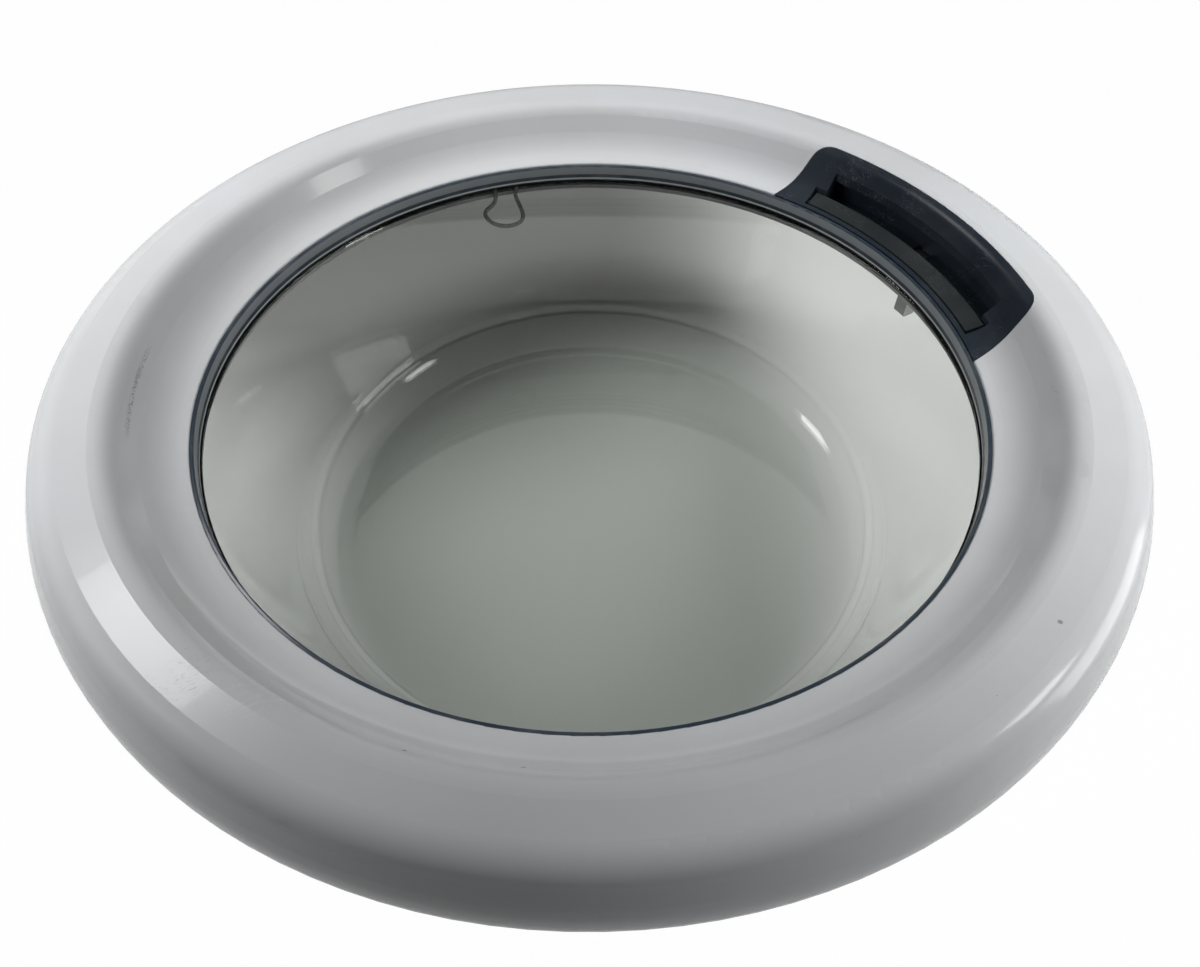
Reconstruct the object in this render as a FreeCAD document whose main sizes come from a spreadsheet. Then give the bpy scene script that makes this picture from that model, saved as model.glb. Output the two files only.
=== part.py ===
import FreeCAD, Part
import math
import os
import Sketcher

# Front-loading washing machine door: a moulded outer ring, a glass bowl and a back frame screwed
# together, a sprung grip with its latch hook on the +X side and a cranked hinge on the -X side.
# Every body is drawn with z = 0 on the back plane of the ring and then lifted, so that the bowl
# stands on z = 0 of the finished door. +Z leaves the front face and +Y is up on the machine.

SIZES = {
    # Outer ring: its opening, and the widths and heights that build up from there
    "opening_radius": 179.5,
    "ring_wall": 2.5,
    "band_width": 12.0,
    "funnel_width": 13.1,
    "crown_width": 26.7,
    "skirt_width": 8.7,
    "lip_height": 10.0,
    "band_rise": 4.0,
    "funnel_rise": 19.5,
    "crown_rise": 1.8,
    "side_drop": 18.8,
    "side_round": 24.0,
    "side_taper": 2.5,
    "waist_height": 8.5,
    "waist_round": 10.0,
    "shoulder_round": 12.5,
    "crest_round": 12.0,
    "crease_round": 24.0,
    "lip_round": 0.8,
    # Glass bowl
    "glass_depth": 97.0,
    "glass_wall": 4.0,
    "glass_floor": 5.0,
    "glass_inset": 2.2,
    "glass_taper": 29.3,
    "mouth_round": 1.0,
    "floor_round": 25.0,
    "flange_reach": 8.5,
    "flange_thickness": 4.0,
    # Trim and gasket that clamp the glass
    "trim_wall": 1.7,
    "trim_set": 0.8,
    "trim_foot": 1.5,
    "trim_gap": 0.2,
    "trim_round": 0.6,
    "foot_inset": 1.0,
    "gasket_thickness": 1.0,
    "gasket_lap": 2.5,
    "gasket_inset": 0.5,
    # Back frame
    "frame_wall": 2.5,
    "frame_proud": 1.5,
    "fit_gap": 0.3,
    "notch_clearance": 4.0,
    "window_clearance": 2.5,
    # Screw bosses round the ring
    "boss_inset": 9.3,
    "boss_count": 8,
    "boss_radius": 4.5,
    "pilot_radius": 1.6,
    "screw_radius": 1.5,
    "screw_clearance": 0.3,
    "screw_head_radius": 3.6,
    "screw_head_height": 2.4,
    "screw_grip": 12.0,
    "cup_screw_grip": 10.0,
    "carrier_screw_grip": 5.0,
    # Handle cup
    "handle_half_width": 80.0,
    "handle_margin": 2.4,
    "handle_corner": 12.0,
    "cup_wall": 2.0,
    "pocket_base": 4.0,
    "pocket_drop": 6.5,
    "pocket_mouth": 7.0,
    "pocket_undercut": 5.5,
    "roof_rise": 5.5,
    "roof_slope": 7.0,
    "pocket_end_angle": 1.5,
    "pocket_skin": 1.6,
    "cup_sweep_angle": 84.0,
    "cut_reach": 29.5,
    "cut_margin": 5.0,
    "cup_screw_inset": 7.5,
    "cup_screw_margin": 9.0,
    # Grip lever
    "grip_margin": 17.6,
    "grip_front_gap": 0.9,
    "grip_gap": 0.4,
    "grip_lift": 1.1,
    "grip_end_angle": 0.6,
    "grip_round": 0.8,
    "grip_root": 1.0,
    "pivot_inset": 3.0,
    "pivot_drop": 0.5,
    "grip_pin_radius": 1.5,
    "ear_half": 3.3,
    "ear_margin": 21.5,
    "ear_width": 3.5,
    "ear_drop": 2.6,
    "ear_clearance": 0.6,
    "lever_pin_grip": 10.0,
    "lever_pin_inset": 0.2,
    "tail_half_width": 4.0,
    "tail_overlap": 2.5,
    "tail_inset": 3.5,
    "tail_wall": 2.5,
    "tail_drop": 2.0,
    "tail_foot": 1.5,
    "tail_clearance": 1.0,
    "running_gap": 0.05,
    # Latch hook and its carrier
    "hook_offset": 11.5,
    "hook_drop": 3.0,
    "hook_hub": 4.5,
    "hook_half_width": 4.0,
    "hook_pin_radius": 2.0,
    "hook_shank": 3.5,
    "hook_length": 34.0,
    "hook_barb": 6.0,
    "hook_barb_height": 7.0,
    "heel_overlap": 0.5,
    "heel_thickness": 2.7,
    "heel_round": 0.6,
    "hook_tip_round": 1.5,
    "hook_barb_round": 1.0,
    "hook_waist_round": 2.0,
    "hook_crown_round": 3.0,
    "hook_crown": 2.7,
    "carrier_wall": 2.0,
    "carrier_cheek": 2.5,
    "cheek_gap": 1.8,
    "carrier_rim": 2.5,
    "carrier_offset": 1.0,
    "latch_room": 2.0,
    "carrier_half_length": 22.0,
    "carrier_screw_inset": 6.0,
    "carrier_width": 22.0,
    "spring_thickness": 0.6,
    "spring_half_width": 3.0,
    "spring_drop": 11.0,
    "spring_root": 2.4,
    "spring_bend": 0.8,
    # Hinge
    "hinge_inset": 10.3,
    "hinge_pin_radius": 3.0,
    "pin_overhang": 3.0,
    "hinge_eye": 8.0,
    "eye_gap": 0.6,
    "arm_start": 20.0,
    "arm_width": 8.0,
    "arm_back_reach": 23.0,
    "arm_depth": 6.5,
    "arm_shoulder": 15.0,
    "arm_crook_round": 2.0,
    "arm_knee_round": 3.0,
    "arm_shoulder_round": 4.0,
    "cabinet_gap": 8.0,
    "plate_thickness": 3.0,
    "plate_half_length": 62.0,
    "plate_width": 15.5,
    "plate_hole_radius": 3.2,
    "plate_hole_spacing": 88.0,
    "plate_corner": 6.0,
    "bush_radius": 5.0,
    "bush_length": 12.0,
    "bush_flange": 1.0,
    "bush_flange_radius": 7.0,
    "leaf_thickness": 3.0,
    "leaf_corner": 5.0,
    "leaf_drop": 9.9,
    "leaf_margin": 14.0,
    "leaf_outer_reach": 5.0,
    "leaf_inner_reach": 16.0,
    "leaf_screw_near": 0.5,
    "leaf_screw_far": 10.5,
    "leaf_screw_inset": 7.0,
    "leaf_screw_room": 3.4,
    "clip_thickness": 1.0,
    "clip_radius": 5.5,
    # Rubber buffers on the back frame
    "buffer_offset": 8.4,
    "buffer_count": 4,
    "buffer_radius": 5.0,
    "buffer_stem_radius": 2.5,
}

# Radii, heights and places that are sums of the sizes above
SUMS = {
    "crease_radius": "opening_radius + band_width",
    "crest_radius": "crease_radius + funnel_width",
    "shoulder_radius": "crest_radius + crown_width",
    "ring_radius": "shoulder_radius + skirt_width",
    "foot_radius": "ring_radius - side_taper",
    "crease_height": "lip_height + band_rise",
    "crest_height": "crease_height + funnel_rise",
    "ring_height": "crest_height + crown_rise",
    "side_corner_height": "ring_height - side_drop",
    "mouth_radius": "opening_radius - glass_inset",
    "floor_radius": "mouth_radius - glass_taper",
    "flange_radius": "opening_radius + flange_reach",
    "trim_radius": "opening_radius - trim_wall",
    "trim_height": "lip_height - trim_set",
    "gasket_radius": "opening_radius + gasket_lap",
    "boss_circle": "shoulder_radius - boss_inset",
    "handle_radius": "crest_radius + handle_margin",
    "handle_inside": "opening_radius - cut_reach",
    "pocket_floor": "crease_height - pocket_drop",
    "cup_bottom": "pocket_floor - pocket_base",
    "pocket_mouth_radius": "crease_radius + pocket_mouth",
    "pocket_radius": "pocket_mouth_radius + pocket_undercut",
    "pocket_roof_low": "crease_height + roof_rise",
    "pocket_roof_high": "pocket_roof_low + roof_slope",
    "cup_screw_x": "opening_radius + cup_screw_inset",
    "cup_screw_y": "handle_half_width - cup_screw_margin",
    "grip_inner_radius": "opening_radius + cup_wall + grip_front_gap",
    "grip_bottom": "pocket_floor + grip_lift",
    "grip_end": "handle_half_width - grip_margin",
    "grip_pivot_x": "opening_radius - pivot_inset",
    "grip_pivot_height": "pocket_floor - pivot_drop",
    "ear_start": "handle_half_width - ear_margin",
    "tail_back": "crease_radius - tail_inset",
    "tail_reach": "crease_radius + tail_overlap",
    "tail_bottom": "cup_bottom - tail_drop",
    "tail_top": "tail_bottom + tail_foot",
    "hook_pivot_x": "crease_radius + hook_offset",
    "hook_pivot_height": "tail_top - hook_drop",
    "heel_reach": "hook_offset + heel_overlap",
    "carrier_screw_y": "carrier_half_length - carrier_screw_inset",
    "hinge_axis_x": "shoulder_radius - hinge_inset",
    "leaf_height": "crest_height - leaf_drop",
    "hinge_axis_height": "leaf_height - eye_gap - hinge_eye",
    "hinge_pin_half": "arm_start + arm_width + pin_overhang",
    "arm_front_reach": "arm_back_reach + arm_depth",
    "leaf_half_length": "arm_start + arm_width + leaf_margin",
    "leaf_outer": "hinge_axis_x + leaf_outer_reach",
    "leaf_inner": "hinge_axis_x - leaf_inner_reach",
    "leaf_screw_out": "hinge_axis_x - leaf_screw_near",
    "leaf_screw_in": "hinge_axis_x - leaf_screw_far",
    "leaf_screw_y": "leaf_half_length - leaf_screw_inset",
    "leaf_screw_grip": "leaf_drop - leaf_screw_room",
    "buffer_circle": "crest_radius + buffer_offset",
}

doc = FreeCAD.newDocument("WashingMachineDoor")
sheet = doc.addObject("Spreadsheet::Sheet", "Sizes")
for row, (name, value) in enumerate(SIZES.items(), start=1):
    sheet.set(f"A{row}", name)
    sheet.set(f"B{row}", str(value))
    sheet.setAlias(f"B{row}", name)
doc.recompute()

bodies = []


def size(name):
    if name not in SUMS:
        return "Sizes." + name
    terms = [term if term in "+-" else size(term) for term in SUMS[name].split()]
    return "(" + " ".join(terms) + ")"


def value_of(expression):
    return float(sheet.evalExpression(str(expression)))


def new_body(label):
    body = doc.addObject("PartDesign::Body", label)
    body.Label = label
    body.AllowCompound = True
    body.setExpression("Placement.Base.z", size("glass_depth"))
    bodies.append(body)
    return body


def origin_feature(body, role):
    return [item for item in body.Origin.OriginFeatures if item.Role == role][0]


def new_sketch(body, plane, name, offset=None):
    sketch = body.newObject("Sketcher::SketchObject", name)
    sketch.AttachmentSupport = (origin_feature(body, plane), [""])
    sketch.MapMode = "FlatFace"
    if offset is not None:
        sketch.setExpression("AttachmentOffset.Base.z", offset)
    return sketch


def pin_point(sketch, geometry, corner, x, y):
    for kind, expression in (("DistanceX", x), ("DistanceY", y)):
        start = Sketcher.Constraint(kind, -1, 1, geometry, corner, value_of(expression))
        index = sketch.addConstraint(start)
        sketch.setExpression(f"Constraints[{index}]", str(expression))


def tie_radius(sketch, geometry, radius):
    index = sketch.addConstraint(Sketcher.Constraint("Radius", geometry, value_of(radius)))
    sketch.setExpression(f"Constraints[{index}]", str(radius))


def add_outline(sketch, corners):
    # A closed outline through corner points (x, y) or, where a corner is rounded, (x, y, radius)
    points = [FreeCAD.Vector(value_of(c[0]), value_of(c[1]), 0) for c in corners]
    radii = [value_of(c[2]) if len(c) > 2 else 0 for c in corners]
    count = len(corners)
    leaving = []
    arriving = []
    for i in range(count):
        before = (points[i - 1] - points[i]).normalize()
        after = (points[(i + 1) % count] - points[i]).normalize()
        cut = radii[i] / math.tan(before.getAngle(after) / 2) if radii[i] else 0
        arriving.append(points[i] + before * cut)
        leaving.append(points[i] + after * cut)
    lines = []
    for i in range(count):
        segment = Part.LineSegment(leaving[i], arriving[(i + 1) % count])
        lines.append(sketch.addGeometry(segment))
    for i, corner in enumerate(corners):
        line_in = lines[i - 1]
        line_out = lines[i]
        if not radii[i]:
            sketch.addConstraint(Sketcher.Constraint("Coincident", line_in, 2, line_out, 1))
            pin_point(sketch, line_out, 1, corner[0], corner[1])
            continue
        before = (points[i - 1] - points[i]).normalize()
        after = (points[(i + 1) % count] - points[i]).normalize()
        inward = (before + after).normalize()
        middle = points[i] + inward * (radii[i] / math.sin(before.getAngle(after) / 2) - radii[i])
        arc = sketch.addGeometry(Part.Arc(arriving[i], middle, leaving[i]))
        turn = (points[i] - points[i - 1]).cross(points[(i + 1) % count] - points[i]).z
        arc_in, arc_out = (1, 2) if turn > 0 else (2, 1)
        knot = sketch.addGeometry(Part.Point(points[i]), True)
        sketch.addConstraint(Sketcher.Constraint("Tangent", line_in, 2, arc, arc_in))
        sketch.addConstraint(Sketcher.Constraint("Tangent", arc, arc_out, line_out, 1))
        sketch.addConstraint(Sketcher.Constraint("PointOnObject", knot, 1, line_in))
        sketch.addConstraint(Sketcher.Constraint("PointOnObject", knot, 1, line_out))
        pin_point(sketch, knot, 1, corner[0], corner[1])
        tie_radius(sketch, arc, corner[2])


def add_circle(sketch, x, y, radius):
    centre = FreeCAD.Vector(value_of(x), value_of(y), 0)
    normal = FreeCAD.Vector(0, 0, 1)
    circle = sketch.addGeometry(Part.Circle(centre, normal, value_of(radius)))
    pin_point(sketch, circle, 3, x, y)
    tie_radius(sketch, circle, radius)


def rectangle(x_low, x_high, y_low, y_high):
    return [(x_low, y_low), (x_high, y_low), (x_high, y_high), (x_low, y_high)]


def rounded_plate(x_low, x_high, half_length, corner):
    corners = rectangle(x_low, x_high, f"-{half_length}", half_length)
    return [(x, y, corner) for x, y in corners]


def turned(body, name, corners, kind="Revolution", angle=None):
    # A profile in the XZ plane turned about the door's axis, all round or evenly about +X
    sketch = new_sketch(body, "XZ_Plane", name + "Profile")
    add_outline(sketch, corners)
    feature = body.newObject("PartDesign::" + kind, name)
    feature.Profile = sketch
    feature.ReferenceAxis = (sketch, ["V_Axis"])
    if angle is None:
        feature.Angle = 360
    else:
        feature.Midplane = True
        feature.setExpression("Angle", angle)
    doc.recompute()
    return feature


def raised(body, name, outlines, circles, base, length):
    # A pad from the height base, upwards by length
    sketch = new_sketch(body, "XY_Plane", name + "Outline", base)
    for corners in outlines:
        add_outline(sketch, corners)
    for circle in circles:
        add_circle(sketch, *circle)
    pad = body.newObject("PartDesign::Pad", name)
    pad.Profile = sketch
    pad.setExpression("Length", length)
    doc.recompute()
    return pad


def crossways(body, name, outlines, circles, start, length, kind="Pad"):
    # A pad or pocket along Y of an outline in the XZ plane, from y = start towards +Y
    sketch = new_sketch(body, "XZ_Plane", name + "Outline", f"-({start})")
    for corners in outlines:
        add_outline(sketch, corners)
    for circle in circles:
        add_circle(sketch, *circle)
    feature = body.newObject("PartDesign::" + kind, name)
    feature.Profile = sketch
    feature.Reversed = kind == "Pad"
    feature.setExpression("Length", length)
    doc.recompute()
    return feature


def cut_through(body, name, outlines, circles):
    # A pocket right through the body along Z
    sketch = new_sketch(body, "XY_Plane", name + "Outline")
    for corners in outlines:
        add_outline(sketch, corners)
    for circle in circles:
        add_circle(sketch, *circle)
    pocket = body.newObject("PartDesign::Pocket", name)
    pocket.Profile = sketch
    pocket.Type = "ThroughAll"
    pocket.Midplane = True
    doc.recompute()
    return pocket


def drilled(body, name, outlines, circles, base, depth):
    # A blind recess or hole from the height base, upwards by depth
    sketch = new_sketch(body, "XY_Plane", name + "Outline", base)
    for corners in outlines:
        add_outline(sketch, corners)
    for circle in circles:
        add_circle(sketch, *circle)
    pocket = body.newObject("PartDesign::Pocket", name)
    pocket.Profile = sketch
    pocket.Reversed = True
    pocket.setExpression("Length", depth)
    doc.recompute()
    return pocket


def around_axis(radius, count, first=0.5):
    # Centres spread evenly round the door's axis, the first one part of a step on from +X
    step = 360.0 / count
    angles = [(k + first) * step for k in range(count)]
    return [(f"{radius} * cos({a})", f"{radius} * sin({a})") for a in angles]


def screws(label, centres, seat, shank):
    # Pan-head screws driven upwards: heads below the height seat, shanks above it
    body = new_body(label)
    heads = [(x, y, size("screw_head_radius")) for x, y in centres]
    shanks = [(x, y, size("screw_radius")) for x, y in centres]
    head_base = f"{seat} - {size('screw_head_height')}"
    raised(body, label + "Heads", [], heads, head_base, size("screw_head_height"))
    raised(body, label + "Shanks", [], shanks, seat, shank)


def handle_outline(sketch, clearance):
    # Two straight sides, an outer arc about the door's axis and a round between them
    half = f"({size('handle_half_width')} - {clearance})"
    outer = f"({size('handle_radius')} - {clearance})"
    corner = size("handle_corner")
    inner = size("handle_inside")
    h, ro, q, xi = [value_of(e) for e in (half, outer, corner, inner)]
    centre_x = math.sqrt((ro - q) ** 2 - (h - q) ** 2)
    reach = ro / (ro - q)
    origin = FreeCAD.Vector(0, 0, 0)
    axis = FreeCAD.Vector(0, 0, 1)
    side = {}
    rounds = {}
    for sign in (-1, 1):
        start = FreeCAD.Vector(xi, sign * h, 0)
        end = FreeCAD.Vector(centre_x, sign * h, 0)
        side[sign] = sketch.addGeometry(Part.LineSegment(start, end))
        centre = FreeCAD.Vector(centre_x, sign * (h - q), 0)
        tip = centre * reach
        middle = centre + (tip + end - centre * 2).normalize() * q
        rounds[sign] = sketch.addGeometry(Part.Arc(end, middle, tip))
    half_angle = math.atan2((h - q) * reach, centre_x * reach)
    arc_shape = Part.ArcOfCircle(Part.Circle(origin, axis, ro), -half_angle, half_angle)
    arc = sketch.addGeometry(arc_shape)
    low = FreeCAD.Vector(xi, -h, 0)
    high = FreeCAD.Vector(xi, h, 0)
    back = sketch.addGeometry(Part.LineSegment(high, low))
    sketch.addConstraint(Sketcher.Constraint("Coincident", arc, 3, -1, 1))
    tie_radius(sketch, arc, outer)
    for sign in (-1, 1):
        end_on_round, tip_on_round = (1, 2) if sign < 0 else (2, 1)
        tip_on_arc = 1 if sign < 0 else 2
        corner_on_back = 2 if sign < 0 else 1
        joint = Sketcher.Constraint("Tangent", side[sign], 2, rounds[sign], end_on_round)
        sketch.addConstraint(joint)
        joint = Sketcher.Constraint("Tangent", rounds[sign], tip_on_round, arc, tip_on_arc)
        sketch.addConstraint(joint)
        joint = Sketcher.Constraint("Coincident", side[sign], 1, back, corner_on_back)
        sketch.addConstraint(joint)
        sketch.addConstraint(Sketcher.Constraint("Horizontal", side[sign]))
        pin_point(sketch, side[sign], 1, inner, f"{sign} * {half}")
        tie_radius(sketch, rounds[sign], corner)


# Values that several pieces share
wall = size("ring_wall")
band_slope = (f"(({size('crease_height')} - {size('lip_height')})"
              f" / ({size('crease_radius')} - {size('opening_radius')}))")
clamp_depth = f"({size('flange_thickness')} + {size('gasket_thickness')})"
frame_top = f"({size('frame_wall')} - {size('frame_proud')})"
frame_edge = f"({size('foot_radius')} - {wall} - {size('fit_gap')})"
step_inner = f"({size('flange_radius')} + {size('fit_gap')})"
step_outer = f"({step_inner} + {size('frame_wall')})"
glass_lean = (f"(({size('mouth_radius')} - {size('floor_radius')})"
              f" / ({size('glass_depth')} - {size('glass_floor')}))")
glass_outer_mouth = f"({size('mouth_radius')} + {size('glass_wall')} * sqrt(1 + {glass_lean}^2))"
hinge_x = f"-{size('hinge_axis_x')}"
boss_centres = around_axis(size("boss_circle"), SIZES["boss_count"])
cup_screw_centres = [(size("cup_screw_x"), f"{s} * {size('cup_screw_y')}") for s in (-1, 1)]
leaf_screw_centres = [(f"-{size(x)}", f"{s} * {size('leaf_screw_y')}")
                      for x in ("leaf_screw_out", "leaf_screw_in") for s in (-1, 1)]
carrier_middle = f"({size('hook_pivot_x')} + {size('carrier_offset')})"
carrier_screw_centres = [(carrier_middle, f"{s} * {size('carrier_screw_y')}") for s in (-1, 1)]
buffer_centres = around_axis(size("buffer_circle"), SIZES["buffer_count"])
frame_seat = f"-{size('frame_proud')}"
grip_half_angle = f"(asin({size('grip_end')} / {size('grip_inner_radius')}) / 1 deg)"
pin_end = f"({size('ear_start')} + {size('ear_width')} + {size('lever_pin_grip')})"
cheek_reach = f"({size('hook_half_width')} + {size('cheek_gap')})"
cheek_end = f"({cheek_reach} + {size('carrier_cheek')})"
knuckle_half = f"({size('arm_start')} - {size('fit_gap')} - {size('bush_flange')})"
arm_end = f"({size('arm_start')} + {size('arm_width')})"
cabinet_plane = f"-{size('cabinet_gap')}"
screw_hole = f"({size('screw_radius')} + {size('screw_clearance')})"

# The shares of the wall by which the inner corners of the ring step in
LIP_DROP = 0.72
CREASE_OUT = 0.64
CREASE_DROP = 0.84
CREST_OUT = 0.52
SHOULDER_IN = 0.64
SIDE_DROP = 0.22

# Shares of the hinge eye's radius that shape the knuckle and the cranked arms
EYE_ROUND = 0.98
KNUCKLE_TOP = 0.6
KNUCKLE_SIDE = 0.5
ARM_EYE_ROUND = 0.9
ARM_CROOK = 0.75
ARM_KNEE = 0.8


def outer_ring():
    body = new_body("outer_ring")
    lip_inner = f"{size('opening_radius')} + {wall}"
    turned(body, "RingShell", [
        (size("foot_radius"), "0"),
        (size("ring_radius"), size("waist_height"), size("waist_round")),
        (size("ring_radius"), size("side_corner_height"), size("side_round")),
        (size("shoulder_radius"), size("ring_height"), size("shoulder_round")),
        (size("crest_radius"), size("crest_height"), size("crest_round")),
        (size("crease_radius"), size("crease_height"), size("crease_round")),
        (size("opening_radius"), size("lip_height"), size("lip_round")),
        (size("opening_radius"), size("trim_foot")),
        (lip_inner, size("trim_foot")),
        (lip_inner, f"{size('lip_height')} - {LIP_DROP} * {wall}"),
        (f"{size('crease_radius')} + {CREASE_OUT} * {wall}",
         f"{size('crease_height')} - {CREASE_DROP} * {wall}",
         f"{size('crease_round')} + {wall}"),
        (f"{size('crest_radius')} + {CREST_OUT} * {wall}", f"{size('crest_height')} - {wall}",
         f"{size('crest_round')} - {wall}"),
        (f"{size('shoulder_radius')} - {SHOULDER_IN} * {wall}", f"{size('ring_height')} - {wall}",
         f"{size('shoulder_round')} - {wall}"),
        (f"{size('ring_radius')} - {wall}", f"{size('side_corner_height')} - {SIDE_DROP} * {wall}",
         f"{size('side_round')} - {wall}"),
        (f"{size('ring_radius')} - {wall}", size("waist_height"),
         f"{size('waist_round')} - {wall}"),
        (f"{size('foot_radius')} - {wall}", "0"),
    ])
    # Bosses for the frame screws, and short posts that carry the hinge leaf
    boss_top = f"{size('ring_height')} - {wall} / 2"
    tubes = [(x, y, size(r)) for x, y in boss_centres for r in ("boss_radius", "pilot_radius")]
    raised(body, "ScrewBosses", [], tubes, frame_top, f"{boss_top} - {frame_top}")
    post_base = f"({size('leaf_height')} + {size('leaf_thickness')})"
    posts = [(x, y, size(r)) for x, y in leaf_screw_centres for r in ("boss_radius", "pilot_radius")]
    raised(body, "HingePosts", [], posts, post_base, f"{size('crest_height')} - {wall} / 2 - {post_base}")
    # The opening that the handle cup fills
    sketch = new_sketch(body, "XY_Plane", "HandleOpeningOutline")
    handle_outline(sketch, "0")
    opening = body.newObject("PartDesign::Pocket", "HandleOpening")
    opening.Profile = sketch
    opening.Type = "ThroughAll"
    opening.Midplane = True


def inner_frame():
    body = new_body("inner_frame")
    bottom = f"-({clamp_depth} + {size('frame_wall')})"
    turned(body, "FrameRing", [
        (size("gasket_radius"), bottom),
        (step_outer, bottom),
        (step_outer, frame_seat),
        (frame_edge, frame_seat),
        (frame_edge, frame_top),
        (step_inner, frame_top),
        (step_inner, f"-{clamp_depth}"),
        (size("gasket_radius"), f"-{clamp_depth}"),
    ])
    # A notch for the hinge arms and a window for the latch
    notch_half = f"({arm_end} + {size('notch_clearance')})"
    notch = rectangle(f"-({size('ring_radius')} + {size('cut_margin')})",
                      f"-({step_outer} + {size('fit_gap')})", f"-{notch_half}", notch_half)
    window_half = f"({size('hook_half_width')} + {size('carrier_cheek')} + {size('window_clearance')})"
    window = rectangle(f"{step_outer} + {size('fit_gap')}",
                       f"{size('hook_pivot_x')} + 2 * {size('hook_hub')}",
                       f"-{window_half}", window_half)
    cut_through(body, "HingeNotch", [notch], [])
    cut_through(body, "LatchWindow", [window], [])
    holes = [(x, y, screw_hole) for x, y in boss_centres + cup_screw_centres + carrier_screw_centres]
    holes += [(x, y, size("buffer_stem_radius")) for x, y in buffer_centres]
    cut_through(body, "FrameHoles", [], holes)


def door_glass():
    body = new_body("door_glass")
    floor_top = f"-({size('glass_depth')} - {size('glass_floor')})"
    turned(body, "Bowl", [
        ("0", f"-{size('glass_depth')}"),
        (f"{glass_outer_mouth} - {glass_lean} * {size('glass_depth')}", f"-{size('glass_depth')}",
         f"{size('floor_round')} + {size('glass_wall')}"),
        (f"{glass_outer_mouth} - {glass_lean} * {size('flange_thickness')}",
         f"-{size('flange_thickness')}"),
        (size("flange_radius"), f"-{size('flange_thickness')}"),
        (size("flange_radius"), "0"),
        (size("mouth_radius"), "0", size("mouth_round")),
        (size("floor_radius"), floor_top, size("floor_round")),
        ("0", floor_top),
    ])


def rim_trim():
    body = new_body("rim_trim")
    wall_outer = f"{size('opening_radius')} - {size('trim_gap')}"
    foot_edge = f"{size('flange_radius')} - {size('foot_inset')}"
    turned(body, "TrimRing", [
        (size("trim_radius"), "0"),
        (foot_edge, "0"),
        (foot_edge, size("trim_foot")),
        (wall_outer, size("trim_foot")),
        (wall_outer, size("trim_height")),
        (size("trim_radius"), size("trim_height"), size("trim_round")),
    ])


def glass_gasket():
    body = new_body("glass_gasket")
    turned(body, "GasketRing", rectangle(
        size("gasket_radius"), f"{size('flange_radius')} - {size('gasket_inset')}",
        f"-{clamp_depth}", f"-{size('flange_thickness')}"))


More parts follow.
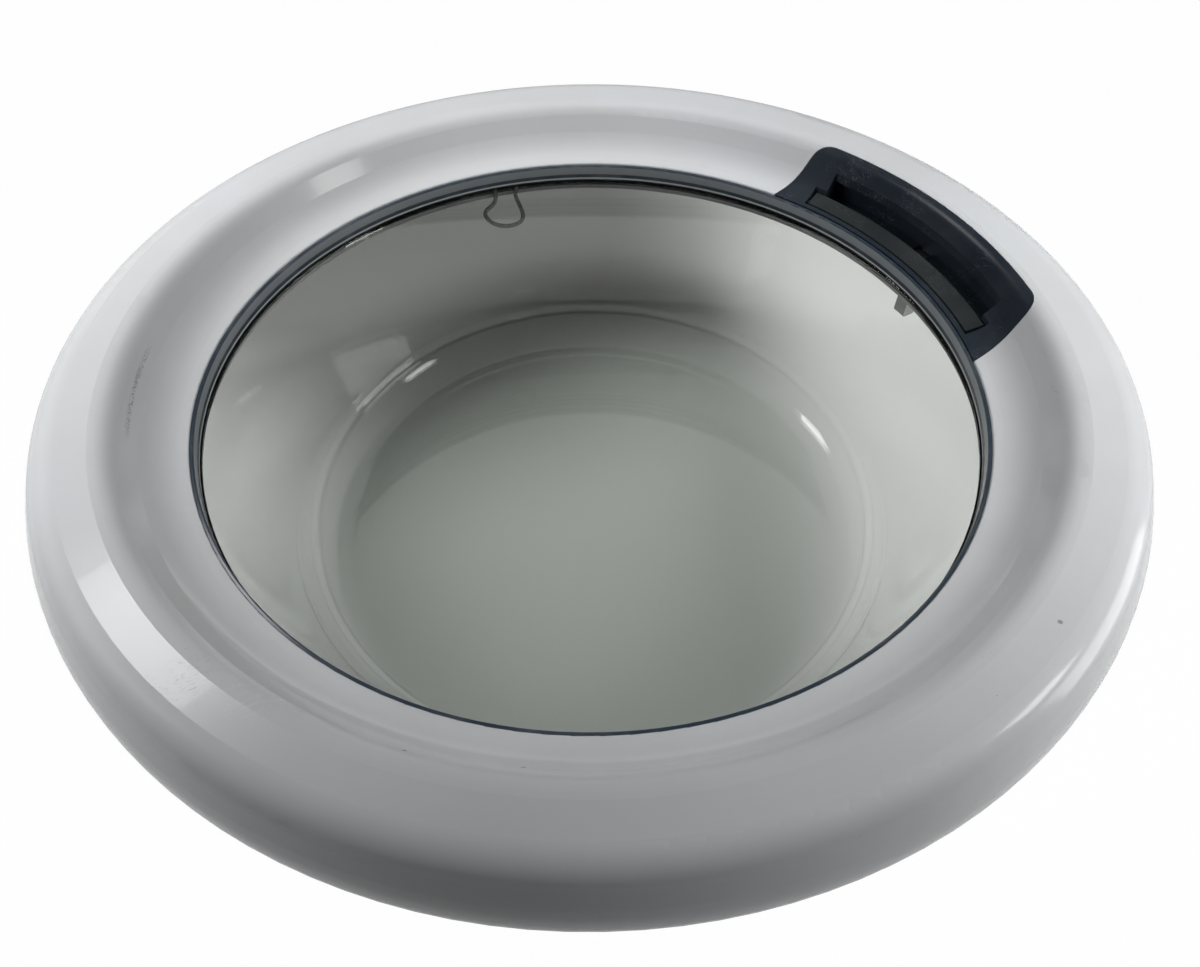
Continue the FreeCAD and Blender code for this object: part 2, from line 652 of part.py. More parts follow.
def handle_cup():
    body = new_body("handle_cup")
    inner_wall = f"({size('opening_radius')} + {size('cup_wall')})"
    turned(body, "CupBlock", [
        (size("opening_radius"), size("trim_foot")),
        (inner_wall, size("trim_foot")),
        (inner_wall, size("cup_bottom")),
        (size("shoulder_radius"), size("cup_bottom")),
        (size("shoulder_radius"), size("ring_height")),
        (size("crest_radius"), size("crest_height"), size("crest_round")),
        (size("crease_radius"), size("crease_height"), size("crease_round")),
        (size("opening_radius"), size("lip_height")),
    ], angle=size("cup_sweep_angle"))
    # Trimmed to the ring's opening
    sketch = new_sketch(body, "XY_Plane", "CupTrimOutline")
    far = f"({size('ring_radius')} + {size('cut_margin')})"
    add_outline(sketch, rectangle(size("cut_margin"), far, f"-{far}", far))
    handle_outline(sketch, size("fit_gap"))
    trim = body.newObject("PartDesign::Pocket", "CupTrim")
    trim.Profile = sketch
    trim.Type = "ThroughAll"
    trim.Midplane = True
    doc.recompute()
    # The seat of the grip, then the finger pocket with its undercut behind the mouth
    above = f"{size('ring_height')} + {size('cut_margin')}"
    turned(body, "GripSeat", rectangle(inner_wall, f"{size('crease_radius')} + {size('grip_gap')}",
                                       size("pocket_floor"), above),
           "Groove", f"2 * ({grip_half_angle} + {size('grip_end_angle')})")
    turned(body, "FingerPocket", [
        (size("crease_radius"), size("pocket_floor")),
        (size("pocket_radius"), size("pocket_floor")),
        (size("pocket_radius"), size("pocket_roof_high")),
        (size("pocket_mouth_radius"), size("pocket_roof_low")),
        (size("pocket_mouth_radius"), above),
        (size("crease_radius"), above),
    ], "Groove", f"2 * ({grip_half_angle} - {size('pocket_end_angle')})")
    # Wells for the lever's ears, a slot for its tail under the pocket, and feet for the screws
    ear_low = f"{size('grip_pivot_x')} - {size('ear_half')} - {size('ear_clearance')}"
    ear_high = f"{size('grip_pivot_x')} + {size('ear_half')} + {size('ear_clearance')}"
    ear_in = f"{size('ear_start')} - {size('ear_clearance')}"
    ear_out = f"{size('ear_start')} + {size('ear_width')} + {size('ear_clearance')}"
    tail_half = f"({size('tail_half_width')} + {size('tail_clearance')})"
    slot = rectangle(f"{size('tail_back')} - {size('tail_clearance')}",
                     f"{size('hook_pivot_x')} + {size('tail_clearance')}",
                     f"-{tail_half}", tail_half)
    ears = [rectangle(ear_low, ear_high, ear_in, ear_out),
            rectangle(ear_low, ear_high, f"-({ear_out})", f"-({ear_in})")]
    cut_through(body, "LeverWells", ears, [])
    drilled(body, "TailSlot", [slot], [], size("cup_bottom"),
            f"{size('pocket_floor')} - {size('cup_bottom')}")
    feet = [(x, y, size(r)) for x, y in cup_screw_centres for r in ("boss_radius", "pilot_radius")]
    raised(body, "CupFeet", [], feet, frame_top, f"{size('cup_bottom')} - {frame_top}")
    pilots = [(x, y, size("pilot_radius")) for x, y in cup_screw_centres]
    drilled(body, "CupPilots", [], pilots, frame_top, size("cup_screw_grip"))
    # Room under the pocket's floor for the top of the latch carrier
    room_x = f"({size('hook_hub')} + {size('latch_room')})"
    room_y = f"({cheek_end} + {size('ear_clearance')})"
    room = rectangle(f"{size('hook_pivot_x')} - {room_x}", f"{size('hook_pivot_x')} + {room_x}",
                     f"-{room_y}", room_y)
    drilled(body, "LatchRoom", [room], [], size("cup_bottom"),
            f"{size('pocket_floor')} - {size('pocket_skin')} - {size('cup_bottom')}")
    pin = (size("grip_pivot_x"), size("grip_pivot_height"), size("grip_pin_radius"))
    for side, start in (("Low", f"-({pin_end})"), ("High", size("ear_start"))):
        crossways(body, "PinBore" + side, [], [pin], start,
                  f"{pin_end} - {size('ear_start')}", "Pocket")


def grip_lever():
    body = new_body("grip_lever")
    outer = f"({size('crease_radius')} - {size('fit_gap')})"
    inner = size("grip_inner_radius")
    top = f"{size('lip_height')} - {size('opening_radius')} * {band_slope}"
    turned(body, "GripBar", [
        (inner, size("grip_bottom")),
        (outer, size("grip_bottom")),
        (outer, f"{top} + {outer} * {band_slope}", size("grip_round")),
        (inner, f"{top} + {inner} * {band_slope}", size("grip_round")),
    ], angle=f"2 * {grip_half_angle}")
    low = f"{size('grip_pivot_x')} - {size('ear_half')}"
    high = f"{size('grip_pivot_x')} + {size('ear_half')}"
    base = f"({size('grip_pivot_height')} - {size('ear_drop')})"
    root = f"({size('grip_bottom')} + {size('grip_root')})"
    end = f"{size('ear_start')} + {size('ear_width')}"
    ears = [rectangle(low, high, size("ear_start"), end),
            rectangle(low, high, f"-({end})", f"-{size('ear_start')}")]
    raised(body, "LeverEars", ears, [], base, f"{root} - {base}")
    # The tail hooks under the heel of the latch
    half = size("tail_half_width")
    back = size("tail_back")
    crossways(body, "LeverTail", [[
        (back, root),
        (back, size("tail_bottom")),
        (size("tail_reach"), size("tail_bottom")),
        (size("tail_reach"), size("tail_top")),
        (f"{back} + {size('tail_wall')}", size("tail_top")),
        (f"{back} + {size('tail_wall')}", root),
    ]], [], f"-{half}", f"2 * {half}")
    bore = (size("grip_pivot_x"), size("grip_pivot_height"),
            f"{size('grip_pin_radius')} + {size('running_gap')}")
    for side, start in (("Low", f"-{pin_end}"), ("High", size("ear_start"))):
        crossways(body, "LeverBore" + side, [], [bore], start,
                  f"{pin_end} - {size('ear_start')}", "Pocket")


def lever_pins():
    body = new_body("lever_pins")
    pin = (size("grip_pivot_x"), size("grip_pivot_height"), size("grip_pin_radius"))
    start = f"({size('ear_start')} + {size('lever_pin_inset')})"
    crossways(body, "PinHigh", [], [pin], start, f"{pin_end} - {start}")
    crossways(body, "PinLow", [], [pin], f"-{pin_end}", f"{pin_end} - {start}")


def latch_hook():
    body = new_body("latch_hook")
    x = size("hook_pivot_x")
    z = size("hook_pivot_height")
    hub = size("hook_hub")
    half = size("hook_half_width")
    shank = size("hook_shank")
    heel_low = f"({size('tail_top')} + {size('fit_gap')})"
    tip = f"{z} - {size('hook_length')}"
    barb_top = f"{tip} + {size('hook_barb_height')}"
    heel_top = f"{heel_low} + {size('heel_thickness')}"
    crossways(body, "HookPlate", [[
        (f"{x} - {size('heel_reach')}", heel_low, size("heel_round")),
        (f"{x} - {shank}", heel_low),
        (f"{x} - {shank}", tip, size("hook_tip_round")),
        (f"{x} + {shank}", tip, size("hook_tip_round")),
        (f"{x} + {shank} + {size('hook_barb')}", barb_top, size("hook_barb_round")),
        (f"{x} + {shank}", barb_top),
        (f"{x} + {hub}", f"{z} - {hub}", size("hook_waist_round")),
        (f"{x} + {hub}", f"{z} + {hub}", size("hook_crown_round")),
        (f"{x} - {size('hook_crown')}", heel_top),
        (f"{x} - {size('heel_reach')}", heel_top, size("heel_round")),
    ]], [], f"-{half}", f"2 * {half}")
    bore = (x, z, f"{size('hook_pin_radius')} + {size('running_gap')}")
    crossways(body, "HookBore", [], [bore], f"-{half}", f"2 * {half}", "Pocket")


def latch_carrier():
    body = new_body("latch_carrier")
    x = size("hook_pivot_x")
    z = size("hook_pivot_height")
    base = f"({frame_seat} - {size('carrier_wall')})"
    half_length = size("carrier_half_length")
    low = f"{carrier_middle} - {size('carrier_width')} / 2"
    high = f"{carrier_middle} + {size('carrier_width')} / 2"
    rim = size("carrier_rim")
    slot = rectangle(f"{low} + {rim}", f"{high} - {rim}", f"-{cheek_reach}", cheek_reach)
    holes = [(px, py, screw_hole) for px, py in carrier_screw_centres]
    plate = rectangle(low, high, f"-{half_length}", half_length)
    raised(body, "CarrierPlate", [plate, slot], holes, base, size("carrier_wall"))
    boss = size("hook_hub")
    cheek = [
        (f"{x} - {boss}", base),
        (f"{x} + {boss}", base),
        (f"{x} + {boss}", f"{z} + {boss}", size("hook_crown_round")),
        (f"{x} - {boss}", f"{z} + {boss}", size("hook_crown_round")),
    ]
    crossways(body, "CheekHigh", [cheek], [], cheek_reach, size("carrier_cheek"))
    crossways(body, "CheekLow", [cheek], [], f"-{cheek_end}", size("carrier_cheek"))
    bore = (x, z, size("hook_pin_radius"))
    crossways(body, "CarrierBore", [], [bore], f"-{cheek_end}", f"2 * {cheek_end}", "Pocket")


def hook_pin():
    body = new_body("hook_pin")
    pin = (size("hook_pivot_x"), size("hook_pivot_height"), size("hook_pin_radius"))
    crossways(body, "PinRod", [], [pin], f"-{cheek_end}", f"2 * {cheek_end}")


def hook_spring():
    # A leaf of spring steel from the carrier plate that presses the shank towards its barb
    body = new_body("hook_spring")
    leaf = size("spring_thickness")
    half = size("spring_half_width")
    base = f"({frame_seat} - {size('carrier_wall')})"
    root = f"({carrier_middle} - {size('carrier_width')} / 2)"
    bend = f"{root} + {size('spring_root')}"
    touch = f"({size('hook_pivot_x')} - {size('hook_shank')} - {size('fit_gap')})"
    tip = f"({base} - {size('spring_drop')})"
    crossways(body, "SpringLeaf", [[
        (root, base),
        (root, f"{base} - {leaf}"),
        (f"{bend} - {leaf}", f"{base} - {leaf}", size("spring_bend")),
        (f"{touch} - {leaf}", tip),
        (touch, tip),
        (bend, base, size("spring_bend")),
    ]], [], f"-{half}", f"2 * {half}")


def hinge_leaf():
    body = new_body("hinge_leaf")
    eye = size("hinge_eye")
    z = size("hinge_axis_height")
    top = f"({size('leaf_height')} + {size('leaf_thickness')})"
    crossways(body, "Knuckle", [[
        (f"{hinge_x} - {eye}", f"{z} - {eye}", f"{EYE_ROUND} * {eye}"),
        (f"{hinge_x} + {eye}", f"{z} - {eye}", f"{EYE_ROUND} * {eye}"),
        (f"{hinge_x} + {eye}", top),
        (f"{hinge_x} - {KNUCKLE_TOP} * {eye}", top),
        (f"{hinge_x} - {eye}", f"{z} + {KNUCKLE_SIDE} * {eye}"),
    ]], [], f"-{knuckle_half}", f"2 * {knuckle_half}")
    flange = rounded_plate(f"-{size('leaf_outer')}", f"-{size('leaf_inner')}",
                           size("leaf_half_length"), size("leaf_corner"))
    raised(body, "LeafFlange", [flange], [], size("leaf_height"), size("leaf_thickness"))
    cut_through(body, "LeafHoles", [], [(x, y, screw_hole) for x, y in leaf_screw_centres])
    bore = (hinge_x, z, size("bush_radius"))
    crossways(body, "LeafBore", [], [bore], f"-{knuckle_half}", f"2 * {knuckle_half}", "Pocket")


def hinge_bush(label, sign):
    body = new_body(label)
    bore = (hinge_x, size("hinge_axis_height"), f"{size('hinge_pin_radius')} + {size('running_gap')}")
    sleeve = (hinge_x, size("hinge_axis_height"), size("bush_radius"))
    flange = (hinge_x, size("hinge_axis_height"), size("bush_flange_radius"))
    sleeve_start = f"{knuckle_half} - {size('bush_length')}" if sign > 0 else f"-{knuckle_half}"
    flange_start = knuckle_half if sign > 0 else f"-({knuckle_half} + {size('bush_flange')})"
    crossways(body, label + "Sleeve", [], [sleeve, bore], sleeve_start, size("bush_length"))
    crossways(body, label + "Flange", [], [flange, bore], flange_start, size("bush_flange"))


def hinge_bracket():
    body = new_body("hinge_bracket")
    z = size("hinge_axis_height")
    eye = size("hinge_eye")
    back = f"{hinge_x} + {size('arm_back_reach')}"
    front = f"{hinge_x} + {size('arm_front_reach')}"
    arm = [
        (f"{hinge_x} - {eye}", f"{z} - {eye}", f"{ARM_EYE_ROUND} * {eye}"),
        (back, f"{z} - {ARM_CROOK} * {eye}", size("arm_crook_round")),
        (back, cabinet_plane),
        (front, cabinet_plane),
        (front, f"{z} - {ARM_KNEE} * {eye}", size("arm_knee_round")),
        (f"{hinge_x} + {size('arm_shoulder')}", f"{z} + {eye}", size("arm_shoulder_round")),
        (f"{hinge_x} - {eye}", f"{z} + {eye}", f"{ARM_EYE_ROUND} * {eye}"),
    ]
    crossways(body, "ArmHigh", [arm], [], size("arm_start"), size("arm_width"))
    crossways(body, "ArmLow", [arm], [], f"-{arm_end}", size("arm_width"))
    plate = rounded_plate(f"{front} - {size('plate_width')}", front,
                          size("plate_half_length"), size("plate_corner"))
    hole_x = f"{front} - {size('plate_width')} / 2"
    holes = [(hole_x, f"{k} * {size('plate_hole_spacing')}", size("plate_hole_radius"))
             for k in (-0.5, 0.5)]
    raised(body, "MountPlate", [plate], holes, cabinet_plane, size("plate_thickness"))
    bore = (hinge_x, z, size("hinge_pin_radius"))
    crossways(body, "ArmBore", [], [bore], f"-{arm_end}", f"2 * {arm_end}", "Pocket")


def hinge_pin():
    body = new_body("hinge_pin")
    rod = (hinge_x, size("hinge_axis_height"), size("hinge_pin_radius"))
    half = size("hinge_pin_half")
    crossways(body, "HingeRod", [], [rod], f"-{half}", f"2 * {half}")


def pin_clips():
    body = new_body("pin_clips")
    ring = (hinge_x, size("hinge_axis_height"), size("clip_radius"))
    hole = (hinge_x, size("hinge_axis_height"), size("hinge_pin_radius"))
    crossways(body, "ClipHigh", [], [ring, hole], arm_end, size("clip_thickness"))
    crossways(body, "ClipLow", [], [ring, hole], f"-({arm_end} + {size('clip_thickness')})",
              size("clip_thickness"))


def door_buffers():
    body = new_body("door_buffers")
    pads = [(x, y, size("buffer_radius")) for x, y in buffer_centres]
    stems = [(x, y, size("buffer_stem_radius")) for x, y in buffer_centres]
    raised(body, "BufferPads", [], pads, cabinet_plane, f"{frame_seat} - {cabinet_plane}")
    raised(body, "BufferStems", [], stems, frame_seat, size("frame_wall"))


outer_ring()
inner_frame()
door_glass()
rim_trim()
glass_gasket()
handle_cup()
grip_lever()
lever_pins()
latch_hook()
latch_carrier()
hook_pin()
hook_spring()
hinge_leaf()
hinge_bush("hinge_bush_upper", 1)
hinge_bush("hinge_bush_lower", -1)
hinge_bracket()
hinge_pin()
pin_clips()
door_buffers()
screws("frame_screws", boss_centres, frame_seat, size("screw_grip"))
screws("handle_screws", cup_screw_centres, frame_seat, size("cup_screw_grip"))
screws("latch_screws", carrier_screw_centres, f"({frame_seat} - {size('carrier_wall')})",
       size("carrier_screw_grip"))
screws("hinge_screws", leaf_screw_centres, size("leaf_height"), size("leaf_screw_grip"))
doc.recompute()

for item in doc.Objects:
    if "Invalid" in item.State or "Error" in item.State:
        raise RuntimeError(f"{item.Label} failed: {item.State}")
for body in bodies:
    if body.Shape.isNull() or not body.Shape.isValid():
        raise RuntimeError(f"{body.Label} has no valid shape")

os.makedirs("parts", exist_ok=True)
for body in bodies:
    body.Shape.exportStep(f"parts/{body.Label}.step")
    box = body.Shape.BoundBox
    print(f"{body.Label}: {len(body.Shape.Solids)} solids, {body.Shape.Volume / 1000:.2f} cm3,"
          f" z {box.ZMin:.1f} to {box.ZMax:.1f}, x {box.XMin:.1f} to {box.XMax:.1f}")
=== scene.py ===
import math

import bmesh
import bpy
from mathutils import Matrix, Vector


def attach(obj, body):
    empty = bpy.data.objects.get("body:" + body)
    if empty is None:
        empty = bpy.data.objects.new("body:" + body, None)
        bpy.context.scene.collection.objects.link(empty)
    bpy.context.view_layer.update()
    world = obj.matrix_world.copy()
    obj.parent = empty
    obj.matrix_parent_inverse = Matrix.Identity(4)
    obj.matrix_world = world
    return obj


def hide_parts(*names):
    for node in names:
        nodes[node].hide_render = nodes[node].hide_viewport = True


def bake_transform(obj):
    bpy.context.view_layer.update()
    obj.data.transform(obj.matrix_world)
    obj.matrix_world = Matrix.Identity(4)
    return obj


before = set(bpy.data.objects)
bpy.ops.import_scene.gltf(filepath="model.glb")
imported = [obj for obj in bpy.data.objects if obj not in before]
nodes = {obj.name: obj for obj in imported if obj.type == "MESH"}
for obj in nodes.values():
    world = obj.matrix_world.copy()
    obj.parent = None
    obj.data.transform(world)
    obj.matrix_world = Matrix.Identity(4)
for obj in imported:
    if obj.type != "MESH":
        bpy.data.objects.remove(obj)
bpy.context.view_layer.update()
print("frame loaded:", len(nodes), "nodes")

scene = bpy.context.scene
scene.view_settings.view_transform = "Standard"


# Where the door lies in the shot: the handle is turned this far from the right-hand side
shot = {
    "handleTurn": 28.0,
    "ringBack": 0.097,  # height of the ring's back plane above the floor
    "cameraBack": 0.30965,
    "cameraUp": 0.29515,
    "pitch": 0.8697,
    "yaw": 0.0129,
    "roll": 0.0044,
    "lens": 27.0,
    "sensor": 36.0,
    "clip": (0.01, 50.0),
}


def fromShot(right, away, up):
    # right, away and up as seen in the shot, turned into the door's own axes
    turn = math.radians(shot["handleTurn"])
    x = right * math.cos(turn) + away * math.sin(turn)
    y = away * math.cos(turn) - right * math.sin(turn)
    return Vector((x, y, up))


def placeCamera():
    data = bpy.data.cameras.new("shotCamera")
    data.sensor_fit = "HORIZONTAL"
    data.sensor_width = shot["sensor"]
    data.lens = shot["lens"]
    data.clip_start, data.clip_end = shot["clip"]
    camera = bpy.data.objects.new("shotCamera", data)
    scene.collection.objects.link(camera)
    pitch, yaw, roll = shot["pitch"], shot["yaw"], shot["roll"]
    level = math.cos(pitch)
    forward = fromShot(math.sin(yaw) * level, math.cos(yaw) * level, -math.sin(pitch))
    across = forward.cross(Vector((0, 0, 1))).normalized()
    above = across.cross(forward)
    across, above = (across * math.cos(roll) + above * math.sin(roll),
                     above * math.cos(roll) - across * math.sin(roll))
    turned = Matrix((across, above, -forward)).transposed().to_4x4()
    spot = fromShot(0, -shot["cameraBack"], shot["cameraUp"] + shot["ringBack"])
    camera.matrix_world = Matrix.Translation(spot) @ turned
    scene.camera = camera
    print("camera placed")


placeCamera()


class Strand:
    # one socket of a node tree; Python's operators on it add Math nodes
    def __init__(self, weave, socket):
        self.weave = weave
        self.socket = socket

    def joined(self, operation, first, second):
        return self.weave.node("ShaderNodeMath", {"operation": operation}, {0: first, 1: second})

    def __add__(self, other):
        return self.joined("ADD", self, other)

    def __radd__(self, other):
        return self.joined("ADD", other, self)

    def __sub__(self, other):
        return self.joined("SUBTRACT", self, other)

    def __rsub__(self, other):
        return self.joined("SUBTRACT", other, self)

    def __mul__(self, other):
        return self.joined("MULTIPLY", self, other)

    def __truediv__(self, other):
        return self.joined("DIVIDE", self, other)

    def __gt__(self, other):
        return self.joined("GREATER_THAN", self, other)

    def __lt__(self, other):
        return self.joined("LESS_THAN", self, other)


class Weave:
    # one node tree with its output, and the one way in which nodes are added to it
    def __init__(self, graph, end):
        self.graph = graph
        self.output = graph.nodes[end]

    def node(self, kind, settings, inputs, out=0):
        made = self.graph.nodes.new(kind)
        for label, value in settings.items():
            if label == "stops":
                ramp = made.color_ramp
                while len(ramp.elements) < len(value):
                    ramp.elements.new(0.5)
                for element, (position, shade) in zip(ramp.elements, value):
                    element.position = position
                    element.color = shade
            else:
                setattr(made, label, value)
        for label, value in inputs.items():
            socket = made.inputs[label]
            if isinstance(value, Strand):
                self.graph.links.new(value.socket, socket)
            else:
                socket.default_value = value
        return Strand(self, made.outputs[out])

    def larger(self, first, second):
        return self.node("ShaderNodeMath", {"operation": "MAXIMUM"}, {0: first, 1: second})

    def ray(self, kind):
        return self.node("ShaderNodeLightPath", {}, {}, kind)

    def layer(self, share, lower, upper):
        # ends the tree with two shaders, the upper one over the lower by a share
        mixed = self.node("ShaderNodeMixShader", {}, {0: share, 1: lower, 2: upper})
        self.graph.links.new(mixed.socket, self.output.inputs["Surface"])


class Finish(Weave):
    # one material, with a Principled shader at its end
    def __init__(self, name, **constants):
        self.material = bpy.data.materials.new(name)
        self.material.use_nodes = True
        super().__init__(self.material.node_tree, "Material Output")
        shader = self.graph.nodes["Principled BSDF"]
        self.inputs = shader.inputs
        self.surface = Strand(self, shader.outputs[0])
        for label, value in constants.items():
            self.inputs[label.replace("_", " ")].default_value = value
        self.place = self.node("ShaderNodeTexCoord", {}, {}, "Object")

    def feed(self, label, strand):
        self.graph.links.new(strand.socket, self.inputs[label])

    def noise(self, scale, detail, roughness=0.55, stretch=None, distortion=0.0):
        where = self.place
        if stretch is not None:
            where = self.node("ShaderNodeMapping", {}, {"Vector": self.place, "Scale": stretch})
        return self.node("ShaderNodeTexNoise", {}, {
            "Vector": where, "Scale": scale, "Detail": detail, "Roughness": roughness,
            "Distortion": distortion})

    def ranged(self, strand, low, high, toLow=0.0, toHigh=1.0):
        return self.node("ShaderNodeMapRange", {"interpolation_type": "SMOOTHSTEP"}, {
            "Value": strand, "From Min": low, "From Max": high, "To Min": toLow, "To Max": toHigh})

    def patches(self, scale, detail, low, high):
        # 0 where a noise is under low, 1 where it is over high
        return self.ranged(self.noise(scale, detail), low, high)

    def threads(self, noise, rise, fall):
        # thin lines, where a noise lies between two edges
        return self.ranged(noise, *rise) * self.ranged(noise, *fall, 1.0, 0.0)

    def blend(self, share, first, second):
        mixed = {0: share, 6: first, 7: second}
        return self.node("ShaderNodeMix", {"data_type": "RGBA"}, mixed, 2)

    def bump(self, height, strength, distance):
        self.feed("Normal", self.node("ShaderNodeBump", {}, {
            "Height": height, "Strength": strength, "Distance": distance}))

    def height(self):
        return self.node("ShaderNodeSeparateXYZ", {}, {"Vector": self.place}, "Z")

    def near(self, spot, inner, outer):
        # 1 within inner of a spot, 0 beyond outer
        away = self.node("ShaderNodeVectorMath", {"operation": "DISTANCE"},
                         {0: self.place, 1: spot}, "Value")
        return self.ranged(away, inner, outer, 1.0, 0.0)


def colour(red, green, blue):
    return (red, green, blue, 1.0)


def shotSpot(degrees, radius, height):
    # a place on the ring: degrees round the shot, radius and height in metres
    turn = math.radians(degrees - shot["handleTurn"])
    return (radius * math.cos(turn), radius * math.sin(turn), height)


# Glossy white ring: barely mottled, hairline scratches, a few scuffs and specks.
# Patches are a noise's scale and detail and its two edges, places are for shotSpot
ringLook = {
    "white": (0.64, 0.655, 0.675),
    "aged": (0.60, 0.61, 0.615),
    "dirt": (0.30, 0.30, 0.31),
    "gloss": 0.16,
    "coat": 0.25,
    "coatGloss": 0.03,
    "mottle": {"patches": (9.0, 4.0, 0.35, 0.72), "gloss": 0.03},
    "speck": {"noise": (900.0, 1.0), "above": 0.79, "patches": (14.0, 2.0, 0.52, 0.62),
              "share": 0.55},
    "hair": {"noise": (60.0, 6.0, 0.7, (1.0, 14.0, 3.0), 1.5), "edge": (0.655, 0.675),
             "patches": (16.0, 1.0, 0.5, 0.66), "gloss": 0.10, "depth": 0.2},
    "scuff": {"noise": (420.0, 5.0, 0.65, (1.0, 5.0, 1.0), 0.8), "edge": (0.56, 0.66),
              "core": 0.2, "share": 0.7, "gloss": 0.25},
    "scuffs": [(-127.5, 0.2135, 0.1311, 0.016), (-3, 0.201, 0.1257, 0.006),
               (-9, 0.1998, 0.1241, 0.006)],
    "spots": [(-96.5, 0.1962, 0.1184), (-107, 0.2008, 0.1254), (-44, 0.2182, 0.1314)],
    "spotSize": (0.0005, 0.0012),
    "rub": {"radius": 0.1988, "middle": (-172, 0.1988, 0.1218), "reach": 0.032, "core": 0.6,
            "width": 0.0008, "thin": 0.3, "patches": (1100.0, 2.0, 0.42, 0.60), "share": 0.75},
    "scratch": {"middle": (-122, 0.204, 0.1285), "reach": 0.016, "core": 0.4,
                "noise": (70.0, 4.0, 0.6, (1.0, 7.0, 2.0), 1.2), "rise": (0.515, 0.525),
                "fall": (0.535, 0.545), "shade": (0.80, 0.81, 0.82), "share": 0.6},
    "wave": (55.0, 2.0),
    "bump": (0.02, 0.002),
}


def ringFinish():
    look = ringLook
    finish = Finish("ringGloss", Coat_Weight=look["coat"], Coat_Roughness=look["coatGloss"],
                    IOR=1.5)
    mottle = finish.patches(*look["mottle"]["patches"])
    row = look["speck"]
    speck = (finish.noise(*row["noise"]) > row["above"]) * finish.patches(*row["patches"])
    row = look["hair"]
    hairline = (finish.ranged(finish.noise(*row["noise"]), *row["edge"])
                * finish.patches(*row["patches"]))
    row = look["scuff"]
    scuffed = 0.0
    for degrees, radius, height, reach in look["scuffs"]:
        middle = shotSpot(degrees, radius, height)
        scuffed = scuffed + finish.near(middle, reach * row["core"], reach)
    scuff = scuffed * finish.ranged(finish.noise(*row["noise"]), *row["edge"])
    # a thin broken rub line round part of the crown
    row = look["rub"]
    level = finish.node("ShaderNodeVectorMath", {"operation": "MULTIPLY"},
                        {0: finish.place, 1: (1.0, 1.0, 0.0)})
    outward = finish.node("ShaderNodeVectorMath", {"operation": "LENGTH"}, {0: level}, "Value")
    aside = finish.node("ShaderNodeMath", {"operation": "ABSOLUTE"}, {0: outward - row["radius"]})
    rubbed = (finish.ranged(aside, row["thin"] * row["width"], row["width"], 1.0, 0.0)
              * finish.near(shotSpot(*row["middle"]), row["core"] * row["reach"], row["reach"])
              * finish.patches(*row["patches"]))
    # pale hair scratches
    row = look["scratch"]
    thread = finish.noise(*row["noise"])
    scratched = (finish.near(shotSpot(*row["middle"]), row["core"] * row["reach"], row["reach"])
                 * finish.threads(thread, row["rise"], row["fall"]))
    base = finish.blend(mottle, colour(*look["white"]), colour(*look["aged"]))
    base = finish.blend(scratched * row["share"], base, colour(*row["shade"]))
    dirty = finish.larger(scuff * look["scuff"]["share"], speck * look["speck"]["share"])
    dirty = finish.larger(dirty, rubbed * look["rub"]["share"])
    for spot in look["spots"]:
        dirty = finish.larger(dirty, finish.near(shotSpot(*spot), *look["spotSize"]))
    finish.feed("Base Color", finish.blend(dirty, base, colour(*look["dirt"])))
    finish.feed("Roughness", look["gloss"] + mottle * look["mottle"]["gloss"]
                + hairline * look["hair"]["gloss"] + scuff * look["scuff"]["gloss"])
    finish.bump(finish.noise(*look["wave"]) - hairline * look["hair"]["depth"], *look["bump"])
    return finish.material


# Satin grey moulding of the back frame, finely textured
backLook = {"grey": (0.52, 0.53, 0.54), "worn": (0.46, 0.465, 0.47), "gloss": 0.38,
            "mottle": (12.0, 4.0, 0.35, 0.7), "grain": (1400.0, 2.0), "grainGloss": 0.12,
            "bump": (0.12, 0.0004)}


def backFinish():
    look = backLook
    finish = Finish("backMoulding", IOR=1.5)
    mottle = finish.patches(*look["mottle"])
    grain = finish.noise(*look["grain"])
    finish.feed("Base Color", finish.blend(mottle, colour(*look["grey"]), colour(*look["worn"])))
    finish.feed("Roughness", look["gloss"] + grain * look["grainGloss"])
    finish.bump(grain, *look["bump"])
    return finish.material


# Clear pressed glass, faintly green, with a few smears; its tint is darkened grey as painted shade
# for the dark surroundings seen through it
glassLook = {"tintWithPaintedShade": (0.70, 0.717, 0.692), "gloss": 0.01, "smear": 0.05,
             "smears": (11.0, 5.0, 0.6, (1.0, 1.0, 2.0), 0.6), "smearEdge": (0.5, 0.8),
             "ripple": (18.0, 1.0), "bump": (0.015, 0.004), "shade": (0.72, 0.74, 0.72)}


def glassFinish():
    look = glassLook
    # the base colour is darkened grey: painted shade on all that is seen through the glass
    finish = Finish("bowlGlass", Base_Color=colour(*look["tintWithPaintedShade"]), Transmission_Weight=1.0,
                    IOR=1.5)
    smear = finish.ranged(finish.noise(*look["smears"]), *look["smearEdge"])
    finish.feed("Roughness", look["gloss"] + smear * look["smear"])
    finish.bump(finish.noise(*look["ripple"]), *look["bump"])
    # lets the lamps shine through instead of casting a solid shadow
    clear = finish.node("ShaderNodeBsdfTransparent", {}, {"Color": colour(*look["shade"])})
    finish.layer(finish.ray("Is Shadow Ray"), finish.surface, clear)
    return finish.material


